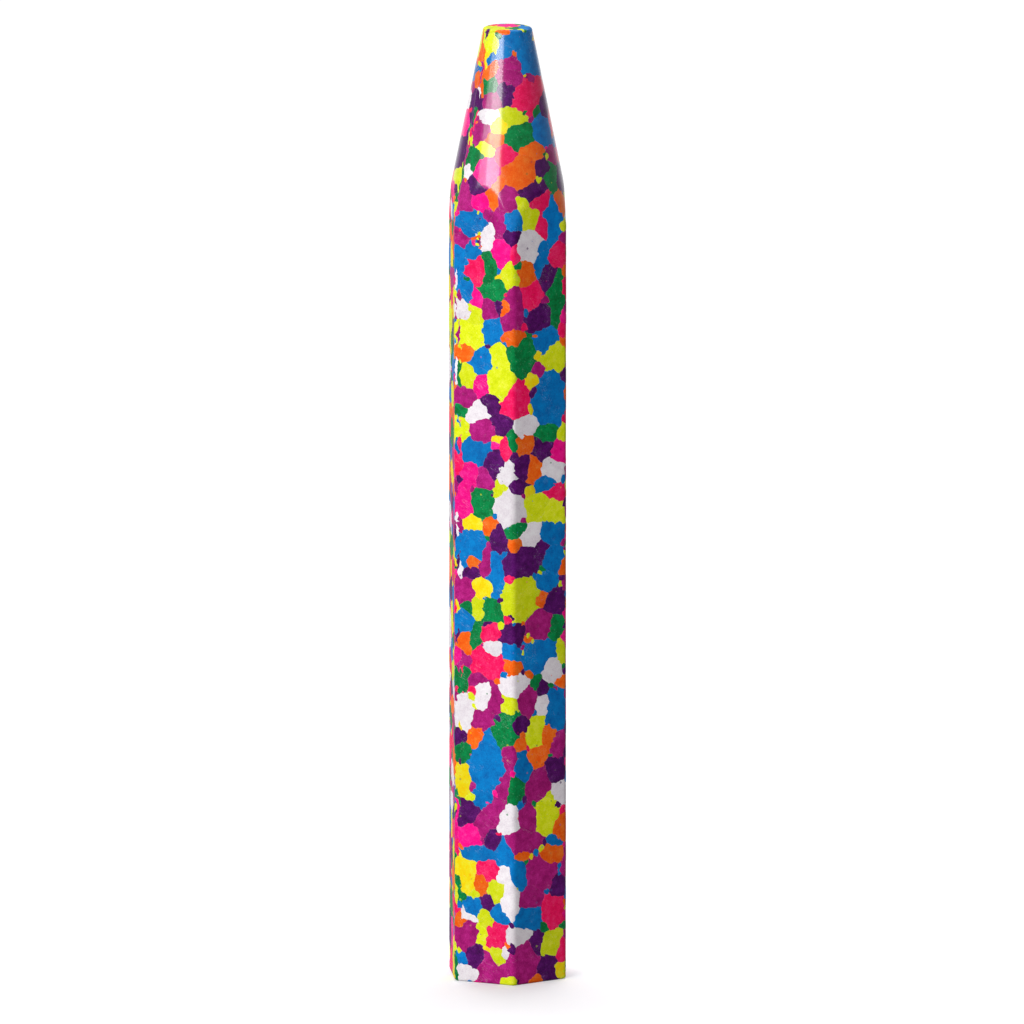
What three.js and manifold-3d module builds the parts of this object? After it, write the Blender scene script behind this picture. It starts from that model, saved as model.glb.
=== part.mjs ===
// Jumbo crayon pressed from coloured wax granules, in millimetres, +Z up.
// The origin is the middle of the flat base, the tip points up, and a corner of the six-sided
// stick faces -Y. The stick is a ground of fine mixed granules, with the largest granules of
// ten wax colours set into it flush with the surface. Nothing on a solid wax stick moves.
import * as THREE from "three";
import { ConvexGeometry } from "three/addons/geometries/ConvexGeometry.js";
import { mergeVertices } from "three/addons/utils/BufferGeometryUtils.js";
import Module from "manifold-3d";

const wasm = await Module();
wasm.setup();

// The stick
const stickLength = 127;
const acrossFlats = 14.9;
const cornerRadius = 0.9;
const baseEdgeRadius = 0.3;

// The point: coneHeight runs from the tip face down to where the cone meets the middle of a flat
const tipDiameter = 6.4;
const tipEdgeRadius = 0.4;
const coneHeight = 20.8;

// The granules: how deep the large ones reach, how uneven they are, how far their corners stand
// outside their stated size, and the line between two
const granuleDepth = 1.9;
const granuleUnevenness = 0.14;
const granuleSwell = 1.06;
const granuleSeam = 0.06;

const waxes = {
  blue: 0x007dc8,
  green: 0x008c50,
  lemon: 0xe1eb1e,
  yellow: 0xffe100,
  orange: 0xff7828,
  red: 0xff1e6e,
  rose: 0xff1496,
  magenta: 0xbe0082,
  violet: 0x5a146e,
  white: 0xf0e6eb,
};
const groundColour = 0x8c3a70;

// Large granules on the side that shows. Each row is a wax colour, the turn round the stick from
// the front corner in degrees, the height as a share of the length, then the width and the
// height of the granule in millimetres and, where it lies slanted, its lean in degrees.
const frontGranules = [
  ["lemon", -100, 0.982, 4.4, 4.2],
  ["blue", 34, 0.977, 5.6, 5.4],
  ["magenta", 0, 0.953, 3.8, 4.4],
  ["red", 27, 0.932, 5.2, 5.0],
  ["green", 8, 0.893, 4.8, 3.6],
  ["blue", 49, 0.897, 4.6, 5.0],
  ["orange", 10, 0.858, 6.0, 3.2, 28],
  ["violet", 24, 0.834, 3.8, 3.0],
  ["blue", -41, 0.8, 5.0, 3.4],
  ["lemon", 17, 0.809, 3.8, 3.4],
  ["rose", -13, 0.772, 3.2, 4.2],
  ["white", 18, 0.778, 3.8, 4.4],
  ["magenta", 2, 0.713, 3.0, 6.2],
  ["violet", 28, 0.7, 4.4, 4.4],
  ["lemon", -44, 0.687, 5.4, 4.2],
  ["green", 9, 0.66, 4.2, 5.4],
  ["lemon", 45, 0.657, 4.2, 3.8],
  ["blue", 41, 0.614, 5.4, 7.6],
  ["red", 3, 0.619, 4.8, 5.0],
  ["blue", -38, 0.562, 5.0, 3.8],
  ["orange", 21, 0.543, 3.2, 3.6],
  ["green", -31, 0.509, 3.4, 4.2],
  ["white", -5, 0.504, 4.6, 4.6],
  ["blue", -44, 0.46, 5.4, 4.8],
  ["violet", 11, 0.447, 6.0, 4.2],
  ["lemon", 8, 0.409, 6.2, 5.6],
  ["yellow", -31, 0.42, 3.8, 2.8],
  ["magenta", 27, 0.38, 4.0, 4.6],
  ["blue", 28, 0.346, 6.0, 4.8],
  ["red", -25, 0.34, 5.0, 4.8],
  ["white", -53, 0.288, 3.2, 5.0],
  ["blue", -26, 0.234, 4.6, 8.4],
  ["lemon", 36, 0.174, 4.2, 5.2],
  ["magenta", 15, 0.15, 6.0, 3.6],
  ["magenta", 30, 0.116, 5.2, 4.8],
  ["blue", 19, 0.07, 5.2, 3.6],
  ["red", 44, 0.075, 4.0, 5.4],
  ["magenta", 13, 0.021, 4.6, 5.6],
];

// The far side holds the same mix of colours and sizes, set out at an even golden turn.
const farGranuleCount = 16;
const farColourStep = 3;
const farTurns = { from: 76, to: 252 };
const farHeights = { from: 0.06, to: 0.94 };
const farSizes = { least: 3.8, most: 5.8 };
const goldenShare = 0.618;

// Granules cut open by the tip face and by the base: the colour, the turn, the distance from
// the axis as a share of the face's radius, then the width and the depth across the face.
const tipGranules = [["rose", 165, 0.35, 2.8, 2.6]];
const baseGranules = [
  ["lemon", 40, 0.6, 3.6, 3.0],
  ["blue", 160, 0.6, 3.4, 3.8],
  ["white", 280, 0.6, 3.8, 3.2],
];

const sides = 6;
const tipRadius = tipDiameter / 2;
const apothem = acrossFlats / 2;
const halfSide = Math.PI / sides;
const frontAngle = -Math.PI / 2;
const coneSlope = (apothem - tipRadius) / coneHeight;

// Distance from the axis to the surface, at a turn from the front corner and a height.
function surfaceRadius(turn, height) {
  const sideAngle = 2 * halfSide;
  const fromMidFlat = (((turn % sideAngle) + sideAngle) % sideAngle) - halfSide;
  const flatRadius = apothem / Math.cos(fromMidFlat);
  const coneRadius = tipRadius + coneSlope * (stickLength - height);
  return Math.min(flatRadius, coneRadius);
}

// Small repeatable random numbers from 0 to 1, for the uneven outlines.
function randomNumbers(seed) {
  let state = seed;
  return () => {
    state = (state * 16807) % 2147483647;
    return state / 2147483647;
  };
}

// A geometry as a solid that can be cut, and a solid as a geometry.
function solidOf(geometry) {
  geometry.deleteAttribute("normal");
  geometry.deleteAttribute("uv");
  const merged = mergeVertices(geometry, 1e-4);
  const corners = merged.index.array;
  const triangles = [];
  for (let i = 0; i < corners.length; i += 3) {
    const [a, b, c] = [corners[i], corners[i + 1], corners[i + 2]];
    if (a !== b && b !== c && c !== a) triangles.push(a, b, c);
  }
  const mesh = new wasm.Mesh({
    numProp: 3,
    vertProperties: Float32Array.from(merged.attributes.position.array),
    triVerts: Uint32Array.from(triangles),
  });
  return new wasm.Manifold(mesh);
}

function geometryOf(solid) {
  const mesh = solid.getMesh();
  const geometry = new THREE.BufferGeometry();
  geometry.setAttribute("position", new THREE.BufferAttribute(mesh.vertProperties, 3));
  geometry.setIndex(new THREE.BufferAttribute(mesh.triVerts, 1));
  geometry.computeVertexNormals();
  return geometry;
}

// The six-sided bar with rounded corners and a rounded base edge, longer than the stick.
function sixSidedBar() {
  const outline = new THREE.Shape();
  const arcCentreRadius = (apothem - cornerRadius) / Math.cos(halfSide);
  for (let side = 0; side < sides; side++) {
    const angle = frontAngle + side * 2 * halfSide;
    const x = arcCentreRadius * Math.cos(angle);
    const y = arcCentreRadius * Math.sin(angle);
    outline.absarc(x, y, cornerRadius, angle - halfSide, angle + halfSide, false);
  }
  outline.closePath();
  const bar = new THREE.ExtrudeGeometry(outline, {
    depth: stickLength,
    curveSegments: 2,
    bevelThickness: baseEdgeRadius,
    bevelSize: baseEdgeRadius,
    bevelOffset: -baseEdgeRadius,
    bevelSegments: 2,
  });
  return solidOf(bar.translate(0, 0, baseEdgeRadius));
}

// The round turned form: the cone with its rounded flat tip, wide enough below to clear the bar.
function turnedCone() {
  const coneAngle = Math.atan(coneSlope);
  const wideRadius = acrossFlats;
  const wideHeight = stickLength - (wideRadius - tipRadius) / coneSlope;
  const margin = 1;
  const lowest = Math.min(wideHeight, 0) - margin;
  const arcInset = (tipEdgeRadius * (1 - Math.sin(coneAngle))) / Math.cos(coneAngle);
  const arcSteps = 4;
  const turnedSteps = 48;
  const profile = [new THREE.Vector2(0, lowest), new THREE.Vector2(wideRadius, lowest)];
  profile.push(new THREE.Vector2(wideRadius, wideHeight));
  for (let step = 0; step <= arcSteps; step++) {
    const angle = coneAngle + ((Math.PI / 2 - coneAngle) * step) / arcSteps;
    const radius = tipRadius - arcInset + tipEdgeRadius * Math.cos(angle);
    profile.push(new THREE.Vector2(radius, stickLength - tipEdgeRadius * (1 - Math.sin(angle))));
  }
  profile.push(new THREE.Vector2(0, stickLength));
  return solidOf(new THREE.LatheGeometry(profile, turnedSteps).rotateX(Math.PI / 2));
}

// Where a granule sits: its centre on the surface, the way out, and the ways across and along.
function sideSeat([wax, turnDegrees, share, wide, tall, lean = 0]) {
  const turn = THREE.MathUtils.degToRad(turnDegrees);
  const height = share * stickLength;
  const outward = new THREE.Vector3(Math.cos(frontAngle + turn), Math.sin(frontAngle + turn), 0);
  const centre = outward.clone().multiplyScalar(surfaceRadius(turn, height)).setZ(height);
  const level = new THREE.Vector3(-outward.y, outward.x, 0);
  const across = level.applyAxisAngle(outward, THREE.MathUtils.degToRad(lean));
  return { wax, centre, outward, across, wide, tall };
}

function endSeat([wax, turnDegrees, share, wide, tall], faceRadius, height, outward) {
  const angle = frontAngle + THREE.MathUtils.degToRad(turnDegrees);
  const reach = share * faceRadius;
  const centre = new THREE.Vector3(reach * Math.cos(angle), reach * Math.sin(angle), height);
  return { wax, centre, outward, across: new THREE.Vector3(1, 0, 0), wide, tall };
}

function farSeats() {
  const colours = Object.keys(waxes);
  const random = randomNumbers(41);
  const spread = (range, share) => range.from + (range.to - range.from) * share;
  const seats = [];
  for (let i = 0; i < farGranuleCount; i++) {
    const turn = spread(farTurns, (i * goldenShare) % 1);
    const share = spread(farHeights, (i + 0.5) / farGranuleCount);
    const wide = farSizes.least + (farSizes.most - farSizes.least) * random();
    const tall = farSizes.least + (farSizes.most - farSizes.least) * random();
    seats.push(sideSeat([colours[(i * farColourStep) % colours.length], turn, share, wide, tall]));
  }
  return seats;
}

// Half the size of a granule in a direction, taken as an ellipsoid.
function reachTowards(seat, direction) {
  const along = seat.outward.clone().cross(seat.across);
  const x = direction.dot(seat.across) * (seat.wide / 2);
  const y = direction.dot(along) * (seat.tall / 2);
  const z = direction.dot(seat.outward) * granuleDepth;
  return Math.hypot(x, y, z);
}

// An uneven rounded lump of wax at a seat, grown by an allowance all round.
function waxLump(seat, seed, allowance) {
  const random = randomNumbers(seed);
  const pointCount = 18;
  const goldenAngle = Math.PI * (3 - Math.sqrt(5));
  const along = seat.outward.clone().cross(seat.across);
  const halves = [seat.wide / 2 + allowance, seat.tall / 2 + allowance, granuleDepth + allowance];
  const points = [];
  for (let i = 0; i < pointCount; i++) {
    const level = 1 - (2 * i + 1) / pointCount;
    const ring = Math.sqrt(1 - level * level);
    const swell = granuleSwell + granuleUnevenness * (2 * random() - 1);
    const point = seat.centre.clone();
    point.addScaledVector(seat.across, halves[0] * swell * ring * Math.cos(i * goldenAngle));
    point.addScaledVector(along, halves[1] * swell * ring * Math.sin(i * goldenAngle));
    point.addScaledVector(seat.outward, halves[2] * swell * level);
    points.push(point);
  }
  return solidOf(new ConvexGeometry(points));
}

// A lump is cut off where a neighbour's begins, leaving or passing the line by an allowance.
function cutAtNeighbours(lump, seat, seats, allowance) {
  let cut = lump;
  for (const other of seats) {
    if (other === seat) continue;
    const towards = other.centre.clone().sub(seat.centre);
    const distance = towards.length();
    towards.normalize();
    const reach = reachTowards(seat, towards);
    const otherReach = reachTowards(other, towards);
    if ((reach + otherReach) * (granuleSwell + granuleUnevenness) + granuleSeam < distance) continue;
    const share = (distance * reach) / (reach + otherReach);
    const line = towards.dot(seat.centre) + share + allowance;
    cut = cut.trimByPlane([-towards.x, -towards.y, -towards.z], -line);
  }
  return cut;
}

const stick = sixSidedBar().intersect(turnedCone());
const up = new THREE.Vector3(0, 0, 1);
const down = new THREE.Vector3(0, 0, -1);
const seats = [
  ...frontGranules.map(sideSeat),
  ...farSeats(),
  ...tipGranules.map((row) => endSeat(row, tipRadius, stickLength, up)),
  ...baseGranules.map((row) => endSeat(row, apothem, 0, down)),
];

const crayon = new THREE.Group();

function addPiece(name, solid, colour) {
  const material = new THREE.MeshStandardMaterial({ color: colour, roughness: 0.42, metalness: 0 });
  const piece = new THREE.Mesh(geometryOf(solid), material);
  piece.name = name;
  crayon.add(piece);
}

let ground = stick;
const granuleCounts = {};
seats.forEach((seat, index) => {
  const lump = waxLump(seat, index + 1, 0);
  const granule = stick.intersect(cutAtNeighbours(lump, seat, seats, -granuleSeam / 2));
  const pocketLump = waxLump(seat, index + 1, granuleSeam);
  ground = ground.subtract(cutAtNeighbours(pocketLump, seat, seats, granuleSeam / 2));
  granuleCounts[seat.wax] = (granuleCounts[seat.wax] ?? 0) + 1;
  addPiece(`${seat.wax}_granule_${granuleCounts[seat.wax]}`, granule, waxes[seat.wax]);
});
addPiece("fine_granule_ground", ground, groundColour);

export default crayon;
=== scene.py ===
"""Jumbo crayon pressed from coloured wax granules, dressed on its CAD frame.

The stick is one skin, made in millimetres and divided into granules, and each piece is cut from
that skin as a closed solid. Heights are above the base, and a turn is in degrees round the stick
from the corner that faces -Y, positive towards +X.
"""
import math

import bmesh
import bpy
import numpy as np
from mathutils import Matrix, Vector, noise


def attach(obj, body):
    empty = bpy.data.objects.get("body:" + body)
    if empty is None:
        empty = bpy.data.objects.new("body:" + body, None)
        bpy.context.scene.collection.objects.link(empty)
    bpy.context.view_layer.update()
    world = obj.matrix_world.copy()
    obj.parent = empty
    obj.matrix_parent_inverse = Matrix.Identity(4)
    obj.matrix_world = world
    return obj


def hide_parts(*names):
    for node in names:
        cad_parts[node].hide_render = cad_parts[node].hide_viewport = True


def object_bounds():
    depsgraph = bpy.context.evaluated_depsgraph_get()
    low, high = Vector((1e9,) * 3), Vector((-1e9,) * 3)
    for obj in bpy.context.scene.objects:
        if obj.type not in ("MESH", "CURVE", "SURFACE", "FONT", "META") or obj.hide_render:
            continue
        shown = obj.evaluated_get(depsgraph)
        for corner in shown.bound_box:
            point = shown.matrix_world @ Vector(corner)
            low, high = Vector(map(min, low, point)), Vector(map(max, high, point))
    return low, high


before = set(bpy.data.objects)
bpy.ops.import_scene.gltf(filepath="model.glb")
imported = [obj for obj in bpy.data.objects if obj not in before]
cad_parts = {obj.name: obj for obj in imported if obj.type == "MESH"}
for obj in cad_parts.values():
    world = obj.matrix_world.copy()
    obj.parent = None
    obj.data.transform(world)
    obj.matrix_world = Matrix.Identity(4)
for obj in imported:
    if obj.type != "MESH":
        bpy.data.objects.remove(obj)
cad_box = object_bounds()

# The skin of the stick: a six-sided wax bar with rounded corners, pressed in a two-part mould,
# which runs into a round cone with a flat blunt tip. It is spun as a turned form, and each
# point is then drawn in to the flats or the cone.
mm = 0.001
stick_length = (cad_box[1][2] - cad_box[0][2]) / mm
apothem = (cad_box[1][0] - cad_box[0][0]) / mm / 2
corner_radius = 0.9
base_edge_radius = 0.3
tip_radius = 3.2
tip_edge_radius = 0.4
cone_height = 20.8
cone_edge_softness = 0.12
sides = 6
side_angle = math.radians(360 / sides)
cone_slope = (apothem - tip_radius) / cone_height
cone_angle = math.atan(cone_slope)
tip_edge_inset = tip_edge_radius * (1 - math.sin(cone_angle)) / math.cos(cone_angle)

skin_step = 0.26
skin_columns = 240
corner_crowding = 0.5
edge_rows = 4
weld_distance = 1e-4


def bar_radius(angle, inset):
    """Distance from the axis to the six-sided outline, which has an arc on each corner."""
    flat = apothem - inset
    arc = corner_radius - inset
    from_flat = np.abs((angle + side_angle / 2) % side_angle - side_angle / 2)
    from_corner = side_angle / 2 - from_flat
    arc_centre = (flat - arc) / math.cos(side_angle / 2)
    on_arc = flat * np.tan(from_flat) > arc_centre * math.sin(side_angle / 2)
    reach = np.sqrt(np.maximum(arc**2 - (arc_centre * np.sin(from_corner)) ** 2, 0))
    return np.where(on_arc, arc_centre * np.cos(from_corner) + reach, flat / np.cos(from_flat))


def cone_radius(height):
    """The cone's radius at a height, with the rim of the tip rounded off."""
    below_tip = stick_length - height
    rim_share = np.clip(1 - below_tip / tip_edge_radius, 0, 1)
    rim = tip_radius - tip_edge_inset + tip_edge_radius * np.sqrt(1 - rim_share**2)
    rim_depth = tip_edge_radius * (1 - math.sin(cone_angle))
    return np.where(below_tip < rim_depth, rim, tip_radius + cone_slope * below_tip)


def skin_radius(angle, height):
    """The smaller of the bar and the cone, with a soft edge where they meet."""
    edge_share = np.clip(1 - height / base_edge_radius, 0, 1)
    inset = base_edge_radius * (1 - np.sqrt(1 - edge_share**2))
    bar = bar_radius(angle, inset)
    cone = cone_radius(height)
    overlap = np.clip(cone_edge_softness - np.abs(bar - cone), 0, None)
    return np.minimum(bar, cone) - overlap**2 / (4 * cone_edge_softness)


def subdivide_to(mesh, step):
    """Cuts each edge of a profile into equal lengths of about one step."""
    for edge in mesh.edges[:]:
        cuts = math.ceil(edge.calc_length() / step) - 1
        if cuts > 0:
            bmesh.ops.subdivide_edges(mesh, edges=[edge], cuts=cuts)


def corner_numbers(item):
    """The numbers of an edge's or a face's corners, from the lowest up."""
    return sorted(vert.index for vert in item.verts)


def put_in_order(parts):
    """Sorts edges or faces by their corners, so that every run has them in the same order."""
    for number, part in enumerate(sorted(parts, key=corner_numbers)):
        part.index = number
    parts.sort()


def spun_skin(columns, step):
    """A closed drum of the flats' radius, with close rows at both rims, shaped to the stick."""
    mesh = bmesh.new()
    turns = [math.radians(90) * row / edge_rows for row in range(edge_rows + 1)]
    base_rows = [base_edge_radius * (1 - math.cos(turn)) for turn in turns]
    tip_rows = [stick_length - tip_edge_radius * (1 - math.sin(turn)) for turn in turns]
    profile = [(0, 0)] + [(apothem, row) for row in base_rows + tip_rows] + [(0, stick_length)]
    corners = [mesh.verts.new((radius, 0, height)) for radius, height in profile]
    for lower, upper in zip(corners, corners[1:]):
        mesh.edges.new((lower, upper))
    subdivide_to(mesh, step)
    bmesh.ops.spin(
        mesh,
        geom=mesh.verts[:] + mesh.edges[:],
        axis=(0, 0, 1),
        angle=math.tau,
        steps=columns,
        use_merge=True,
    )
    bmesh.ops.remove_doubles(mesh, verts=mesh.verts, dist=weld_distance)
    mesh.verts.index_update()
    put_in_order(mesh.edges)
    put_in_order(mesh.faces)
    for vert in mesh.verts:
        angle = math.atan2(vert.co.y, vert.co.x)
        angle += corner_crowding * math.sin(sides * angle) / sides
        share = math.hypot(vert.co.x, vert.co.y) / apothem
        radius = share * float(skin_radius(angle, vert.co.z))
        vert.co = (radius * math.cos(angle), radius * math.sin(angle), vert.co.z)
    bmesh.ops.recalc_face_normals(mesh, faces=mesh.faces)
    return mesh


skin = spun_skin(skin_columns, skin_step)
bmesh.ops.triangulate(skin, faces=skin.faces)
skin_number = skin.verts.layers.int.new("skin_number")
for number, vert in enumerate(skin.verts):
    vert[skin_number] = number
skin.verts.index_update()
skin_points = np.array([vert.co for vert in skin.verts])

# The granules: loose crumbs of ten waxes, 0.6 to 8 mm across, which the press squeezes until
# they meet in crumbly lines. The large ones lie where the CAD has them, the middle ones that
# show are listed one by one, and the rest are thrown at random into the room that is left.
large_granules = {
    name: [Vector(vert.co) / mm for vert in node.data.vertices]
    for name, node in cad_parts.items()
    if name != "fine_granule_ground"
}

# Each row is the turn, the height as a share of the length, the width and height in
# millimetres and, where the granule lies slanted, its lean in degrees.
middle_granules = {
    "blue": [
        (62, 0.965, 3, 5), (33, 0.775, 2, 2), (-43, 0.772, 2.8, 2.2), (-31, 0.197, 2.6, 2.4),
        (-41, 0.971, 1.6, 2.1), (-6, 0.979, 2.6, 2.8), (12, 0.989, 3.6, 3), (2, 0.806, 2.7, 2.9),
        (45, 0.8, 2.9, 6.5), (-57, 0.762, 2.2, 4.6), (30, 0.761, 2.7, 4.1), (-50, 0.732, 2.7, 3),
        (-20, 0.692, 2.8, 4), (38, 0.68, 4.1, 3.8), (-34.5, 0.657, 3.5, 3.7), (36.5, 0.526, 3.8, 2.3),
        (45, 0.475, 4, 3), (47, 0.448, 3.4, 3.2), (-16.5, 0.434, 2.6, 6), (39, 0.425, 3.5, 2.9),
        (-51.5, 0.381, 3.4, 2.8), (-2, 0.352, 2.5, 2.6), (49, 0.286, 3.4, 6.2),
        (10.6, 0.231, 2.5, 4.2), (-8.5, 0.14, 2.8, 3.3), (-38, 0.138, 4.4, 2.3),
        (5.6, 0.117, 2.6, 3.4), (-42, 0.081, 2.7, 2.7), (-12.4, 0.072, 2.9, 2.8),
        (-54, 0.026, 2.2, 1.9),
    ],
    "green": [
        (-57, 0.105, 1.4, 3), (-35, 0.944, 2.6, 2.6), (40, 0.917, 1.5, 2), (-48, 0.869, 3, 3.2),
        (48, 0.847, 2.9, 4.1), (-24, 0.753, 2, 5), (-19.6, 0.735, 4, 2.7), (50, 0.719, 3, 7.5),
        (-55, 0.606, 2.2, 2), (37.5, 0.583, 3.8, 2.6), (-2, 0.576, 2, 2.8), (2.8, 0.48, 3, 2.2),
        (-21.6, 0.394, 3.3, 3.4), (47, 0.375, 3.6, 3.3), (-39, 0.366, 2.2, 4.2),
        (-54.6, 0.321, 2.6, 3.4), (-5, 0.27, 3.4, 6, -20), (-53, 0.244, 2.6, 2.4),
        (2.8, 0.208, 2.8, 3.6),
    ],
    "lemon": [
        (11, 0.825, 2, 2), (-40, 0.092, 2.2, 1.6), (-33, 0.881, 2.6, 2.4), (-56, 0.888, 1.4, 1.6),
        (-50, 0.986, 2.4, 3), (1, 0.911, 4, 2.4), (-4, 0.749, 2.3, 3.6), (-39, 0.704, 2.8, 3.3),
        (-14, 0.664, 3.3, 3), (-49.5, 0.641, 2.9, 3.3), (-12, 0.636, 4.4, 4.4),
        (-55, 0.582, 2.8, 3.6), (-13, 0.526, 2, 2.2), (24.6, 0.503, 3.8, 3.9),
        (47.8, 0.491, 3.6, 4.6), (-37, 0.396, 2, 3.2), (54, 0.35, 2, 3.4), (-4, 0.296, 2.6, 3.6),
        (26.4, 0.265, 3.8, 4.4), (-16, 0.1, 2.6, 2.8), (-28, 0.069, 2.4, 2.2), (-33, 0.048, 2, 2.2),
        (44, 0.04, 3.7, 3.4), (-14.4, 0.028, 2.2, 3.6),
    ],
    "yellow": [
        (-50, 0.972, 1.3, 3.4), (-16, 0.902, 2.2, 2.4), (-42, 0.487, 3, 2.2), (-52.5, 0.215, 2.2, 5),
        (-50.5, 0.117, 3.2, 5.5), (51.5, 0.01, 2.6, 2.2),
    ],
    "orange": [
        (9.3, 0.138, 2, 1.8), (-56, 0.06, 2, 3.4), (-60, 0.975, 1.2, 3), (-36, 0.957, 2, 2.6),
        (8, 0.977, 1.6, 1.2), (-14, 0.846, 2.2, 2), (0.5, 0.465, 1.9, 2.2), (30, 0.876, 3.4, 2.6),
        (-21, 0.889, 3, 2.2), (-21, 0.829, 2, 3.2), (14.6, 0.751, 2.6, 3.6), (-5, 0.715, 2, 2.6),
        (0, 0.687, 3.2, 2.2), (-51.5, 0.664, 3, 2.3), (11.9, 0.57, 3.2, 2.5),
        (-24.3, 0.484, 2.6, 2.5), (-43, 0.449, 2.6, 2.5), (32, 0.407, 2.4, 2.2),
        (-52, 0.361, 2.4, 3.2), (0, 0.338, 2.5, 2.4), (41, 0.261, 2.8, 3.4), (-40.5, 0.261, 2.4, 3.4),
        (26, 0.239, 3.3, 3.2), (45, 0.133, 3.8, 2.6), (-33, 0.11, 1.6, 4),
    ],
    "red": [
        (58, 0.94, 3, 5), (-5, 0.872, 3.5, 3.3), (29, 0.827, 3.6, 2.8), (35, 0.796, 2.7, 3.6),
        (51.5, 0.767, 2.7, 3.3), (-36, 0.748, 3.5, 3.5), (21, 0.727, 3, 3.8), (-8, 0.569, 1.6, 3.3),
        (-58, 0.551, 2, 3.4), (48.7, 0.518, 3.3, 2.7), (-23, 0.371, 2.4, 2.6),
        (-25.7, 0.122, 3.2, 3.9), (-16.5, 0.053, 3.4, 3.6), (55, 0.03, 2, 3),
    ],
    "rose": [
        (-27, 0.193, 1.4, 1.2), (-3, 0.509, 2.5, 3), (-37, 0.722, 1.8, 2.8), (-28, 0.857, 3.4, 3.3),
        (-33, 0.826, 2.7, 2.9), (-33, 0.632, 2.7, 3.3), (52, 0.558, 2.7, 4.2), (-45, 0.54, 2.7, 3.6),
        (-53.6, 0.508, 3, 4.2), (-59.7, 0.346, 2, 3), (-44, 0.155, 3.3, 2.8),
    ],
    "magenta": [
        (-20, 0.185, 3, 3.6), (2, 0.966, 3.2, 2.4), (60, 0.87, 2.4, 3.2), (-30, 0.928, 3.3, 2.8),
        (-45, 0.893, 2.9, 2.7), (-5.5, 0.829, 2.8, 3.5), (-53, 0.827, 2.9, 3.8), (-14, 0.8, 2.2, 4.3),
        (-55, 0.785, 2.9, 3), (-24.7, 0.711, 2.7, 3.4), (-49.5, 0.619, 4, 2.6),
        (-32, 0.585, 3.8, 3.8), (-28, 0.533, 2.7, 3.2), (-57, 0.485, 2, 2), (-27, 0.448, 2.4, 4.6),
        (-51.5, 0.416, 3.8, 3.5), (-51.5, 0.342, 2, 2.6), (-39, 0.322, 3, 2), (-17.5, 0.302, 2, 3.6),
        (14.6, 0.297, 3, 4), (-32.5, 0.28, 3.7, 3.1), (52.6, 0.251, 2.6, 3.4), (-4, 0.241, 2, 3.6),
        (26, 0.212, 4.3, 4.4), (-7.5, 0.211, 2, 4), (15.7, 0.175, 2.8, 4), (-30, 0.167, 3, 4),
        (17, 0.092, 4, 3.2), (-49.5, 0.049, 3.4, 4), (-21.6, 0.018, 5.4, 4.4),
    ],
    "violet": [
        (38, 0.859, 3, 2.4), (-14.5, 0.714, 1.7, 2.2), (-1, 0.789, 2.6, 2.4), (-8, 0.939, 2.8, 4),
        (-60, 0.927, 2.6, 3.3), (63, 0.924, 3, 4.5), (-40, 0.84, 2.3, 2.4), (40, 0.744, 2.7, 3.5),
        (-22, 0.613, 2.5, 2.6), (-12, 0.592, 4, 2.6), (33, 0.563, 3.6, 3), (-20.6, 0.551, 2.9, 3.4),
        (12, 0.549, 2.5, 3), (4.5, 0.527, 2.9, 2), (-14.4, 0.472, 2.3, 4), (32.5, 0.46, 2.8, 2.6),
        (-44, 0.433, 3, 2.4), (47, 0.402, 3.6, 4.2), (0, 0.371, 4, 3.2), (6.7, 0.277, 3.2, 2.4),
        (-56, 0.261, 2.6, 2.5), (49, 0.222, 3, 4.2), (-48, 0.179, 3, 3.4), (-20, 0.153, 2.4, 2.6),
        (52, 0.1, 2.6, 3.5), (-28, 0.086, 2.2, 2.1), (28, 0.043, 2.8, 3), (-40.5, 0.029, 2.6, 2.7),
        (42.5, 0.015, 3.5, 3.6),
    ],
    "white": [
        (-54, 0.857, 2, 2.2), (-30, 0.911, 3, 2), (-26, 0.789, 2.6, 4), (-53.5, 0.71, 3.4, 2.8),
        (-38, 0.603, 3.6, 3.2), (17.5, 0.591, 4.6, 3), (-7, 0.543, 3, 3.7), (46.5, 0.543, 3.7, 3.7),
        (20.8, 0.476, 3.4, 3.5), (-18.5, 0.356, 2.6, 2.2), (42.5, 0.331, 3.5, 3.6),
        (1.8, 0.317, 4.4, 3.2), (-31, 0.303, 2.7, 3.3), (31, 0.292, 2.6, 2.4), (-5, 0.175, 3.2, 4.2),
        (-8.5, 0.117, 2, 2.5), (-4.6, 0.087, 2.6, 5), (-47, 0.07, 2.6, 1.2), (4.5, 0.052, 3.9, 2.4),
        (-10.3, 0.032, 2.2, 1.7), (-49, 0.009, 3.6, 2.2),
    ],
}

# On the tip face: how far each granule lies to the right and to the back, its width and height.
tip_face_granules = {"lemon": (-1.8, -0.5, 3, 3.8), "blue": (2.4, -0.6, 1.8, 3)}

# A clutch of fine crumbs of all the waxes: the middle and the spread of their turns and of
# their heights as a share of the length, their least and largest width, and how many.
clutch_turn = (-39, 4)
clutch_share = (0.79, 0.009)
clutch_widths = (0.45, 1.1)
clutch_count = 20

# How often each wax turns up among the granules that are thrown at random.
wax_shares = {
    "blue": 33, "green": 26, "lemon": 30, "yellow": 7, "orange": 23,
    "red": 22, "rose": 16, "magenta": 36, "violet": 29, "white": 27,
}
front_angle = math.radians(-90)
face_normal_share = 0.75
layout_seed = 7
outline_seed = 7
rng = np.random.default_rng(layout_seed)
noise.seed_set(outline_seed)

# How deep a granule goes at most, also as a share of its mean width on a side, or of half its
# width on an end.
granule_depth = 1.9
side_depth_share = 0.6
end_depth_share = 1.2

# A CAD granule lies on an end if it comes this near to it. On a side it lies slanted if it is
# wider than tall by this ratio and leans by more than the least lean, in degrees.
end_reach = granule_depth * 1.3
slanted_ratio = 1.25
least_lean = 12

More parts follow.
